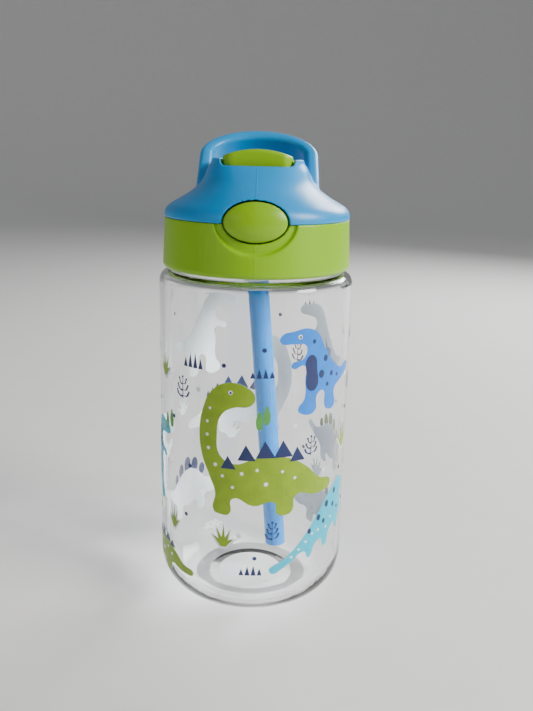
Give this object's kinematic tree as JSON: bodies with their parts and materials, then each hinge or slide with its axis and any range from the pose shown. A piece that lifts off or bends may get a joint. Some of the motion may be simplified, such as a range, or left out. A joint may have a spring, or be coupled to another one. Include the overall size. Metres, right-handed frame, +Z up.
{
  "type": "kids water bottle",
  "caption": "Clear kids drinking bottle with a screw-on lid, push-button flip-up spout, inner straw and a leaning carrying loop.",
  "frame": {"origin": "centre of the base, on the surface the bottle stands on", "axes": "+Z up along the bottle's axis, -Y towards the front with the push button, +X to the right seen from the front"},
  "size_m": [0.073, 0.073, 0.1795],
  "materials": {
    "clear_body": "clear moulded copolyester, gloss",
    "green_plastic": "satin moulded polypropylene, lime green",
    "blue_plastic": "satin moulded polypropylene, sky blue",
    "straw_plastic": "extruded blue straw, translucent gloss",
    "silicone": "frosted food-grade silicone",
    "spring_steel": "drawn stainless wire and pin"
  },
  "bodies": {
    "bottle": {"bottle_shell": "clear_body"},
    "lid_seal": {"mouth_gasket": "silicone"},
    "lid": {"lid_base": "green_plastic", "top_cover": "blue_plastic", "hinge_pin": "spring_steel", "torsion_spring_left": "spring_steel", "torsion_spring_right": "spring_steel", "button_spring": "spring_steel", "mouthpiece_base": "silicone", "mouthpiece_collar": "green_plastic", "straw_coupler": "silicone", "straw": "straw_plastic", "vent_valve": "silicone"},
    "button": {"push_button": "green_plastic"},
    "flap": {"spout_flap": "green_plastic", "flap_pinch_pad": "silicone"},
    "nozzle": {"mouthpiece_nozzle": "silicone"}
  },
  "joints": [
    {"name": "lid_rise", "type": "slide", "parent": "bottle", "child": "lid_seal", "axis": [0, 0, 1], "range_m": [0, 0.012]},
    {"name": "lid_turn", "type": "hinge", "parent": "lid_seal", "child": "lid", "pos_m": [0, 0, 0.138], "axis": [0, 0, 1], "range_deg": [0, 541]},
    {"name": "button_press", "type": "slide", "parent": "lid", "child": "button", "axis": [0, 1, 0], "range_m": [0, 0.0025], "stiffness_N_per_m": 600, "springref_m": -0.002, "deforming": ["button_spring"]},
    {"name": "flap_swing", "type": "hinge", "parent": "lid", "child": "flap", "pos_m": [0, 0.012, 0.164], "axis": [-1, 0, 0], "range_deg": [0, 105], "deforming": ["torsion_spring_left", "torsion_spring_right"]},
    {"name": "nozzle_bend", "type": "hinge", "parent": "lid", "child": "nozzle", "pos_m": [0, 0.005, 0.16], "axis": [-1, 0, 0], "range_deg": [0, 71.5]}
  ],
  "couplings": [
    {"joint": "lid_turn", "follows": "lid_rise", "rad_per_m": 785.4},
    {"joint": "nozzle_bend", "follows": "flap_swing", "ratio": 0.67619}
  ]
}
